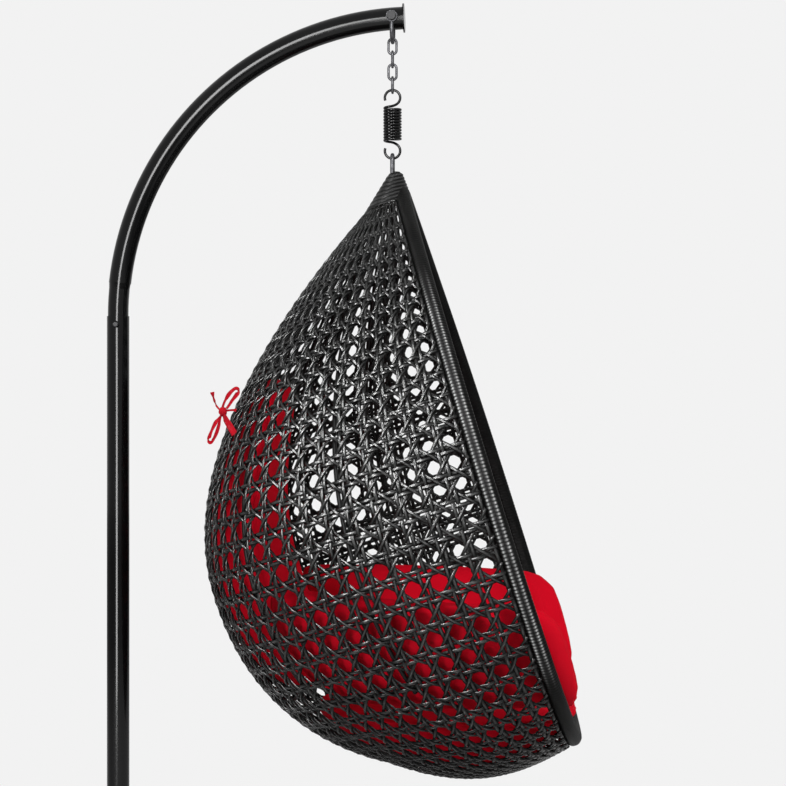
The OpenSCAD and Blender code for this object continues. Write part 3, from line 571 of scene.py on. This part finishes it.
def strand(u, v, lift, width, thick, most):
    """One flat strand lying on the basket, lifted by lift millimetres, with a painted highlight
    where it is lifted most.
    """
    c, out, pitch = weave_frame(u, v)
    fine = np.clip(pitch / NARROW_PITCH, 0.26, 1.0)
    c = c + out * (lift * MM * np.clip(pitch / FLAT_PITCH, 0.15, 1.0))[:, None]
    side = np.cross(along(c), out)
    side /= np.linalg.norm(side, axis=1, keepdims=True)
    up = np.cross(side, along(c))
    wide = (width * MM / 2 * fine)[:, None]
    deep = (thick * MM / 2 * np.clip(fine, 0.5, 1))[:, None]
    rings = np.stack([c + sx * wide * side + sy * deep * up for sx, sy in SECTION], 1)
    # Painted highlight: lighter on the top of the section where the strand passes over
    highlight_weight = np.clip(0.5 + 0.5 * lift / most, 0, 1) ** 2
    return rings, highlight_weight[:, None] * np.array(HIGHLIGHT_SHARE)[None]


# A pair's strands lie OFF columns or rows from its line. SWAY and OVER are how far pairs and
# slants pass over and under, in millimetres.
OFF = 0.102
SWAY, OVER = 2.0, 3.3
WIDTH, THICK = 7.8, 3.0
STEP = 8
LOW_END = 0.06


def uprights(first, last):
    """Pairs of strands down the basket."""
    v = np.linspace(0, ROWS - LOW_END, ROWS * STEP + 1)
    for i in range(first, last + 1):
        for side in (-1, 1):
            u = i + side * OFF
            if not 0 <= u <= COLUMNS:
                continue
            way = np.clip(u + wander(i * 2 + side, v, 0.045), 0.02, COLUMNS - 0.02)
            lift = side * SWAY * np.sin(2 * math.pi * v)
            yield (*strand(way, v, lift, WIDTH, THICK, SWAY),
                   own_tone(i * 12.9 + side * 4.1, 43.7))


def rows(first, last):
    """Pairs of strands round the basket."""
    u = np.linspace(0, COLUMNS, COLUMNS * STEP + 1)
    for j in range(first, last + 1):
        for side in (-1, 1):
            v = j + side * OFF
            if not 0.2 <= v <= ROWS - 0.2:
                continue
            way = v + wander(j * 2 + side + 50, u, 0.04)
            lift = -side * SWAY * np.sin(2 * math.pi * u)
            yield (*strand(u, way, lift, WIDTH, THICK, SWAY),
                   own_tone(j * 7.3 + side * 3.3, 37.1))


def slants(turn):
    """Single strands aslant, through the crossings of the pairs."""
    top, low = 1.6, ROWS - 1.2
    for k in range(-COLUMNS, COLUMNS + ROWS + 1):
        u = np.linspace(0, COLUMNS, COLUMNS * STEP + 1)
        v = turn * u + k + 0.5
        inside = (v >= top) & (v <= low)
        if inside.sum() < 10:
            continue
        u, v = u[inside], v[inside]
        lift = turn * OVER * np.cos(2 * math.pi * u)
        way = np.clip(u + wander(k + 200 * turn, u, 0.03), 0, COLUMNS)
        yield (*strand(way, v, lift, WIDTH * 0.82, THICK * 0.95, OVER),
               own_tone(k * 5.7 + turn, 51.3))


wicker = []
half_columns, half_rows = COLUMNS // 2, ROWS // 2
for name, strands in (("weave_uprights_right", uprights(0, half_columns)),
                      ("weave_uprights_left", uprights(half_columns + 1, COLUMNS)),
                      ("weave_rows_upper", rows(0, half_rows)),
                      ("weave_rows_lower", rows(half_rows + 1, ROWS)),
                      ("weave_slants_rising", slants(1)),
                      ("weave_slants_falling", slants(-1))):
    rings, painted_highlights, tones = zip(*strands)
    piece = skinned(name, rings, strand_finish, tones, painted_highlights)
    wicker.append(dress(piece, "basket", "wicker", "woven_shell"))


# ------------------------------------------------------------------ rim

def stations(first, inset, above, below, end=math.pi / 2):
    """Places down the slope, closer together toward the low end, where the outline turns."""
    return np.concatenate([np.linspace(first, WIDEST, above, endpoint=False),
                           WIDEST + (LONG - inset - WIDEST) * np.sin(np.linspace(0, end, below))])


def rim_line():
    """Centre of the rim, down the right side and up the left."""
    s = stations(34, RIM, 200, 160)
    right = place(-reach_at(s, WIDE, RIM), s, RIM)
    left = place(reach_at(s, WIDE, RIM), s, RIM)
    return np.concatenate([right[:-1], left[::-1]])


def rounded(turn):
    """Height of a round winding over its pitch, from 0 at its edges to 1 on its back."""
    return np.sqrt(np.clip(1 - (2 * (turn % 1) - 1) ** 2, 0, 1))


def rim_winding():
    """Cane wound round eight lengthwise cores, coarse at the sides, close at top and bottom."""
    pitch, cuts, sides, least = 6.6 * MM, 6, 32, 0.30
    path = evenly(rim_line(), pitch / cuts)
    u = np.broadcast_to([0, math.cos(LEAN), -math.sin(LEAN)], path.shape)
    v = np.cross(along(path), u)
    a = np.linspace(0, 2 * math.pi, sides, endpoint=False)
    z = path[:, 2]
    sides_only = np.clip((z - 0.64) / 0.08, 0, 1) * np.clip((1.42 - z) / 0.10, 0, 1)
    coarse = (least + (1 - least) * sides_only)[:, None]
    core = np.abs(np.sin(4 * a)) ** 1.5
    wind = rounded(np.arange(len(path))[:, None] / cuts + a[None] / (2 * math.pi))
    r = (14.9 + (1.2 * core[None] + 1.3 * wind) * coarse + 1.4 * (1 - coarse)) * MM
    rings = path[:, None] + r[..., None] * (np.cos(a)[None, :, None] * u[:, None]
                                            + np.sin(a)[None, :, None] * v[:, None])
    # Painted highlight: lighter beads on the outward face where the winding passes over the
    # cores, at the sides only
    outer = np.clip((-np.sin(a) - 0.5) / 0.35, 0, 1)
    crest = (core * outer)[None] ** 2 * wind ** 2 * (coarse - least) / (1 - least)
    return skinned("rim_winding", [rings], wrap_finish, painted_highlights=[crest])


wicker.append(dress(rim_winding(), "basket", "wicker", "rim_wrap"))


def crown():
    """Close winding round the apex, from the hanging loop down to the first rows."""
    base_s, turns, relief = 46.0, 8, 2.2 * MM
    wide = float(reach_at(base_s, WIDE, 0.0))
    deep = EDGE + float(reach_at(base_s, DEEP, 0.0))
    a = np.linspace(0, 2 * math.pi, 48, endpoint=False)
    tip = MM * np.stack([20 * np.cos(a), HANG_Y - 7 + 12 * np.sin(a),
                         np.full_like(a, APEX_Z + 8)], 1)
    base = place(wide * np.cos(a), base_s + 0 * a, deep / 2 + deep / 2 * np.sin(a))
    rings, painted_highlights = [], []
    for share in np.linspace(0, 1, 61):
        mid = tip * (1 - share) + base * share
        centre = mid.mean(0)
        wave = rounded(share * turns + a / (2 * math.pi))
        dome = 1 - 0.35 * (1 - np.clip(share / 0.1, 0, 1)) ** 2
        out = (mid - centre) / np.linalg.norm(mid - centre, axis=1, keepdims=True)
        rings.append(centre + (mid - centre) * dome + out * ((wave - 0.8) * relief)[:, None])
        # Painted highlight on the backs of the windings
        painted_highlights.append(0.3 * wave ** 3)
    first, last = rings[0], rings[-1]
    rings.insert(0, first.mean(0) + (first - first.mean(0)) * 0.05)
    rings.append(last.mean(0) + (last - last.mean(0)) * 0.05)
    painted_highlights = np.array([painted_highlights[0], *painted_highlights, painted_highlights[-1]])
    return skinned("crown_winding", [np.array(rings)[::-1]], wrap_finish, painted_highlights=[painted_highlights[::-1]])


wicker.append(dress(crown(), "basket", "wicker", "basket_crown"))


# ------------------------------------------------------------------ frame inside the weave

RIBS = {"rib_back": 0.0, "rib_left_rear": 39.375, "rib_left_front": 67.5,
        "rib_right_rear": -39.375, "rib_right_front": -67.5}
ROD_R, RIB_INSET = 4 * MM, 9.9
HOOP_S, HOOP_INSET = 930.0, 18.8
for node, angle in RIBS.items():
    if angle:
        low = math.asin((HOOP_S + 8 - WIDEST) / (LONG - RIB_INSET - WIDEST))
    else:
        low = math.radians(88)
    path = on_basket(stations(54, RIB_INSET, 60, 50, low), math.radians(angle), RIB_INSET)
    dress(skinned(node + "_rod", [tube(path, ROD_R, 12, (1, 0, 0))], paint), "basket",
          "frame_steel", node)

path = on_basket(HOOP_S, np.radians(np.linspace(-89.3, 89.3, 160)), HOOP_INSET)
dress(skinned("seat_hoop_rod", [tube(path, ROD_R, 12, (0, 0, 1))], paint), "basket",
      "frame_steel", "seat_hoop")


# ------------------------------------------------------------------ spring

SPRING_MIDDLE, SPRING_WIRE_R = 1717.36, 2.65
COIL_R, COIL_HEIGHT, COIL_TURNS, COIL_END = 16.1, 66.3, 11 + 1 / 3, 150.0
HOOK_R, HOOK_RISE, HOOK_FROM, HOOK_TO = 15.35, 19.95, -50.0, 200.0


def hooked(a):
    """Points of the upper hook, above the coil's end."""
    a = np.radians(a)
    return np.stack([0 * a, -HOOK_R * np.cos(a), HOOK_RISE + HOOK_R * np.sin(a)], -1)


def spring_line():
    """The coil with its two hooks, on the hanging line."""
    e, f = math.radians(COIL_END), math.radians(HOOK_FROM)
    p0 = np.array([COIL_R * math.cos(e), COIL_R * math.sin(e), 0])
    t0 = 20 * np.array([-math.sin(e), math.cos(e), 0.06])
    p1 = hooked(HOOK_FROM)
    t1 = 20 * np.array([0, math.sin(f), math.cos(f)])
    u = np.linspace(0, 1, 14)[1:, None]
    lead = ((2 * u ** 3 - 3 * u ** 2 + 1) * p0 + (u ** 3 - 2 * u ** 2 + u) * t0
            + (3 * u ** 2 - 2 * u ** 3) * p1 + (u ** 3 - u ** 2) * t1)
    top = np.concatenate([lead, hooked(np.linspace(HOOK_FROM, HOOK_TO, 60)[1:])])
    half = COIL_HEIGHT / 2
    low = top[::-1] * [-1, 1, -1] + [0, 0, -half]
    a = np.radians(180 - COIL_END + np.linspace(0, 360 * COIL_TURNS, int(24 * COIL_TURNS)))
    coil = np.stack([COIL_R * np.cos(a), COIL_R * np.sin(a), np.linspace(-half, half, len(a))], 1)
    return MM * (np.concatenate([low, coil, top + [0, 0, half]]) + [0, HANG_Y, SPRING_MIDDLE])


spring = skinned("spring_coil", [tube(spring_line(), SPRING_WIRE_R * MM, 12, (1, 0, 0))], black)
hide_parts("spring")
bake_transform(spring)


# ------------------------------------------------------------------ cushions

VOXEL, DRAWN_IN, SWELL_CAP = 8 * MM, 1 * MM, 6 * MM
LAST_FRAME = 20
CLOTH = {"quality": 5, "mass": 0.3, "tension_stiffness": 12, "compression_stiffness": 12,
         "shear_stiffness": 4, "bending_stiffness": 0.4, "use_pressure": True,
         "uniform_pressure_force": 7}


def modify(piece, kind, **settings):
    """Adds a modifier, or a simulation, with its settings."""
    modifier = piece.modifiers.new(kind.lower(), kind)
    for name, value in settings.items():
        setattr(modifier, name, value)
    return modifier


def blow_up(piece):
    """Swells a pad by a cloth simulation, no point by more than SWELL_CAP."""
    rest = spots_of(piece)
    cloth = modify(piece, "CLOTH")
    for name, value in CLOTH.items():
        setattr(cloth.settings, name, value)
    cloth.settings.effector_weights.gravity = 0
    cloth.point_cache.frame_start, cloth.point_cache.frame_end = 1, LAST_FRAME
    for number in range(1, LAST_FRAME + 1):
        scene.frame_set(number)
    step = spots_of(piece.evaluated_get(bpy.context.evaluated_depsgraph_get())) - rest
    size = np.linalg.norm(step, axis=1, keepdims=True)
    step *= np.minimum(1, SWELL_CAP / np.maximum(size, 1e-9))
    piece.modifiers.clear()
    put_spots(piece, rest + step)
    scene.frame_set(1)


def hold_front(piece, front):
    """Draws the front back toward a profile, given as pairs of height and lowest Y."""
    spots = spots_of(piece)
    limit = np.interp(spots[:, 2], *zip(*front))
    spots[:, 1] -= 0.8 * np.minimum(spots[:, 1] - limit, 0)
    put_spots(piece, spots)


def swollen(node, name, front):
    """Cover filled with wadding: the pad's form, rounded, drawn in and blown up as cloth."""
    piece = bpy.data.objects.new(name, nodes[node].data.copy())
    bpy.context.collection.objects.link(piece)
    piece.data.materials.clear()
    piece.data.materials.append(cover)
    body = bmesh.new()
    body.from_mesh(piece.data)
    bmesh.ops.remove_doubles(body, verts=body.verts, dist=0.0001)
    body.to_mesh(piece.data)
    body.free()
    modify(piece, "REMESH", mode="VOXEL", voxel_size=VOXEL)
    modify(piece, "SMOOTH", iterations=26, factor=0.5)
    modify(piece, "DISPLACE", strength=-DRAWN_IN, mid_level=0)
    apply_all(piece)
    blow_up(piece)
    if front:
        hold_front(piece, front)
    modify(piece, "SMOOTH", iterations=2, factor=0.4)
    modify(piece, "SUBSURF", levels=1, render_levels=1)
    apply_all(piece)
    smooth(piece)
    return piece


SEAM_DEPTH, SEAM_SPREAD = 2.6 * MM, 6.0 * MM


def seamed(piece, line):
    """Draws the cover in along the seam round its edge."""
    tree = BVHTree.FromObject(piece, bpy.context.evaluated_depsgraph_get())
    for _ in range(3):
        line = np.array([list(tree.find_nearest(Vector(p))[0]) for p in line])
        for _ in range(4):
            line = (np.roll(line, 1, 0) + 2 * line + np.roll(line, -1, 0)) / 4
    line = evenly(np.concatenate([line, line[:1]]), 3 * MM)
    co = spots_of(piece)
    near = np.full(len(co), 1e9)
    for p in line:
        near = np.minimum(near, ((co - p) ** 2).sum(1))
    pull = SEAM_DEPTH * np.exp(-near / SEAM_SPREAD ** 2)
    put_spots(piece, co - spots_of(piece, "normal") * pull[:, None])


def pad_edge(a0, a1, past, z0, z1, half, base, tuck=0.0):
    """Line round the edge of a pad, halfway through its thickness.

    The pad runs from angle a0 to a1 and past millimetres on beyond the rim's plane, from height
    z0 to z1, base millimetres inside the weave. half is half its thickness as a share of the
    basket's reach, and tuck is how much shorter its sides are than its middle.
    """
    spots = []
    for side in range(4):
        for w in np.linspace(-1, 1, 60, endpoint=False):
            x, y = ((w, -1), (1, w), (-w, 1), (-1, -w))[side]
            u = (x + 1) / 2
            arc = 0.86 if past else 1.0
            a = a0 + (a1 - a0) * u / arc if u <= arc else a1 + past * (u - arc) / (1 - arc)
            b = min(abs(a), 90)
            over = max(abs(a) - 90, 0)
            narrow = 1 - tuck * x * x - (0.24 * (over / past) ** 2 if past else 0)
            z = (z0 + z1) / 2 - over * math.sin(LEAN) + y * (z1 - z0) / 2 * narrow
            angle = math.copysign(math.radians(b), a)
            s = station_at(z, angle, base)
            if over:
                spots.append(place(math.copysign((1 - half) * float(reach_at(s, WIDE, base)), a),
                                   s, EDGE - over))
            else:
                spots.append(on_basket(s, angle, base, 1 - half))
    return np.array([np.asarray(p, float).ravel() for p in spots])


def girth(piece, middle):
    """The line round a piece, level with its middle."""
    tree = BVHTree.FromObject(piece, bpy.context.evaluated_depsgraph_get())
    ring = []
    for a in np.linspace(0, 2 * math.pi, 160, endpoint=False):
        way = Vector((math.cos(a), math.sin(a), 0))
        ring.append(list(tree.ray_cast(middle + way, -way)[0]))
    return np.array(ring)


SEAT_FRONT = ((0.500, -0.420), (0.530, -0.436), (0.553, -0.444), (0.577, -0.449))
ARM_FRONT = ((0.583, -0.434), (0.610, -0.444), (0.630, -0.448), (0.660, -0.443), (0.689, -0.436),
             (0.720, -0.427), (0.759, -0.410), (0.778, -0.388), (0.804, -0.370))
PADS = (("seat_cushion", "seat_pad", SEAT_FRONT), ("back_cushion", "back_pad", ()),
        ("arm_cushion_left", "arm_pad_left", ARM_FRONT),
        ("arm_cushion_right", "arm_pad_right", ARM_FRONT))
pads = {}
for node, name, front in PADS:
    pads[name] = swollen(node, name, front)
    dress(pads[name], "basket", "cushion_red", node)

seams = {
    "back_pad": pad_edge(-29, 29, 0, 583, 1212, 0.1, 15, 0.06),
    "arm_pad_left": pad_edge(31.5, 90, 75, 583, 804, 0.11, 23.3),
}
seams["arm_pad_right"] = seams["arm_pad_left"] * [-1, 1, 1]
seams["seat_pad"] = girth(pads["seat_pad"], Vector((0, -0.190, 0.553)))
for name, line in seams.items():
    seamed(pads[name], line)


# ------------------------------------------------------------------ ribbon tie

KNOT_X, KNOT_Z, KNOT_R, KNOT_OFF = -150.0, 1144.0, 9.0, 18
RIBBON, TETHER, RIBBON_THICK = 13, 9, 0.5
knot_s = station_at(KNOT_Z, 0.0, 0.0)
knot_a = -math.asin((-KNOT_X / float(reach_at(knot_s, WIDE, 0.0))) ** (SQUARE / 2))
wall = on_basket(station_at(KNOT_Z, knot_a, 0.0), knot_a) / MM
KNOT = np.array([KNOT_X, float(wall[1]) + KNOT_R + KNOT_OFF, KNOT_Z])


def flat_ribbon(route, width=RIBBON, steps=8, twist=0.0):
    """Rings of a flat ribbon through a few points round the knot, in millimetres."""
    path = eased(route, steps)
    t = along(path)
    lie = np.array([1.0, 0.45, 0.7]) + 0 * path
    u = lie - (lie * t).sum(1, keepdims=True) * t
    u /= np.linalg.norm(u, axis=1, keepdims=True)
    v = np.cross(t, u)
    turn = twist * np.linspace(0, 1, len(path)) ** 2 + 0.10 * np.sin(np.arange(len(path)) * 0.5)
    c, s = np.cos(turn)[:, None], np.sin(turn)[:, None]
    u, v = c * u + s * v, c * v - s * u
    neck = np.clip(np.linalg.norm(path, axis=1) / 26, 0.5, 1)[:, None]
    cup = 1.1 * (1 - neck) + 0.35
    rings = []
    for w, h in ((-1, 0.5), (-0.5, 0.5), (0, 0.5), (0.5, 0.5), (1, 0.5),
                 (1, -0.5), (0.5, -0.5), (0, -0.5), (-0.5, -0.5), (-1, -0.5)):
        rings.append(path + u * (w * width / 2 * neck)
                     + v * (h * RIBBON_THICK + 3 * cup * w * w))
    return MM * (np.stack(rings, 1) + KNOT)


LOOP_UP = ((2, 0, 5), (3, -4, 18), (4, -11, 32), (2, -23, 43), (-2, -29, 38), (-3, -19, 24),
           (-3, -6, 7))
LOOP_DOWN = ((2, 4, -5), (4, 14, -18), (3, 24, -38), (-1, 28, -54), (-6, 20, -58),
             (-8, 10, -40), (-4, 1, -6))
TAIL_UP = ((-3, 4, 4), (-5, 12, 14), (-7, 16, 26), (-8, 19, 38))
TAIL_DOWN = ((-5, 0, -2), (-24, -8, -12), (-50, -21, -27), (-76, -34, -42))
TO_WALL = ((0, -6, 0), (0.5, -14, 1), (1, -26.5, 2))
ribbon_runs = [flat_ribbon(LOOP_UP), flat_ribbon(LOOP_DOWN),
               flat_ribbon(TAIL_UP, steps=10, twist=0.5),
               flat_ribbon(TAIL_DOWN, steps=10, twist=-0.4)]
bow = skinned("ribbon_bow", ribbon_runs, ribbon_cloth)
dress(bow, "basket", "cushion_red", "cushion_tie")


def tied_knot():
    """A ball drawn in at its waist, with folds round it."""
    clear()
    bpy.ops.mesh.primitive_uv_sphere_add(segments=32, ring_count=20, radius=1,
                                         location=(0, 0, 0))
    piece = bpy.context.object
    piece.name = piece.data.name = "ribbon_knot"
    co = spots_of(piece)
    around = np.arctan2(co[:, 1], co[:, 2])
    fold = 1 + 0.05 * np.sin(5 * around + 4 * co[:, 0]) - 0.12 * np.exp(-(co[:, 0] / 0.16) ** 2)
    put_spots(piece, MM * (co * fold[:, None] * [7.5, 8.5, 9.5] + KNOT))
    piece.data.materials.append(ribbon_cloth)
    smooth(piece)
    return piece


knot = dress(tied_knot(), "basket", "cushion_red")
tether = dress(skinned("ribbon_tether", [flat_ribbon(TO_WALL, TETHER)], ribbon_cloth), "basket",
               "cushion_red")


# ------------------------------------------------------------------ floor and light

WHITE = (0.888, 0.888, 0.888, 1)
FLOOR_NEAR, FLOOR_FADE = 0.9, 0.8


def make_floor():
    """Pale floor round the base. Further out the camera sees plain white in its place."""
    clear()
    bpy.ops.mesh.primitive_circle_add(vertices=128, radius=16, fill_type="NGON",
                                      location=(0, 0, 0))
    floor = bpy.context.object
    floor.name = "floor"
    f = Finish("pale_floor", Roughness=0.9, Specular_IOR_Level=0.1)
    where = f.at()
    x, y, _ = f.parts(where)
    far = f.node("Clamp", None, {0: ((x * x + y * y) ** 0.5 - FLOOR_NEAR) / FLOOR_FADE})
    f.feed(Base_Color=f.tint(f.noise(where, 1.5, 3), (0.80, 0.80, 0.80), (0.83, 0.83, 0.83)))
    rays = f.node("LightPath").socket.node.outputs
    glow = f.node("Emission", None, {"Color": WHITE, "Strength": 1.0})
    mix = f.node("MixShader", None, {0: Wire(f, rays["Is Camera Ray"]) * far,
                                     1: Wire(f, f.shader.outputs[0]), 2: glow})
    f.tree.links.new(mix.socket, f.tree.nodes["Material Output"].inputs["Surface"])
    floor.data.materials.append(f.material)


def make_room():
    """Soft white light, and a white room for the camera, reflections and clear parts."""
    world = bpy.data.worlds.new("soft_white_room")
    scene.world = world
    world.use_nodes = True
    tree = world.node_tree
    soft = tree.nodes["Background"]
    soft.inputs["Color"].default_value = (1, 1, 1, 1)
    soft.inputs["Strength"].default_value = 0.24
    white = tree.nodes.new("ShaderNodeBackground")
    white.inputs["Color"].default_value = WHITE
    path = tree.nodes.new("ShaderNodeLightPath")
    seen = path.outputs["Is Camera Ray"]
    for ray in ("Is Glossy Ray", "Is Transmission Ray"):
        either = tree.nodes.new("ShaderNodeMath")
        either.operation = "MAXIMUM"
        tree.links.new(seen, either.inputs[0])
        tree.links.new(path.outputs[ray], either.inputs[1])
        seen = either.outputs[0]
    mixed = tree.nodes.new("ShaderNodeMixShader")
    for number, socket in enumerate((seen, soft.outputs[0], white.outputs[0])):
        tree.links.new(socket, mixed.inputs[number])
    tree.links.new(mixed.outputs[0], tree.nodes["World Output"].inputs["Surface"])


def lamp(name, spot, width, height, power, shows="all", only=()):
    """An area lamp aimed at the basket. It can leave out sheen or matt light, or be for some
    pieces only."""
    bpy.ops.object.light_add(type="AREA", location=spot)
    light = bpy.context.object
    light.name = name
    light.data.shape = "RECTANGLE"
    light.data.size, light.data.size_y = width, height
    light.data.energy = power
    away = Vector(spot) - Vector((0, -0.1, 1.2))
    light.rotation_euler = away.to_track_quat("Z", "Y").to_euler()
    light.visible_diffuse = shows != "gloss"
    light.visible_glossy = shows != "matt"
    if only:
        lit = bpy.data.collections.new(name + "_pieces")
        for piece in only:
            lit.objects.link(piece)
        light.light_linking.receiver_collection = lit


make_floor()
make_room()
lamp("side", (-3.75, 1.45, 1.75), 0.32, 3.2, 105, "matt")
lamp("tall_box", (-3.7, 0.6, 1.35), 0.9, 2.8, 240, "gloss")
lamp("sheen", (-2.5, 2.0, 2.7), 1.1, 1.1, 2200, "gloss", wicker)
lamp("key", (-3.1, -1.1, 3.1), 0.7, 0.7, 115)
lamp("fill", (-0.6, -3.8, 1.9), 1.6, 1.6, 40, "matt")
lamp("back", (2.6, 2.9, 2.6), 1.0, 1.6, 45, "matt")
lamp("overhead", (0.2, 0.2, 4.2), 1.6, 1.6, 50, "matt")
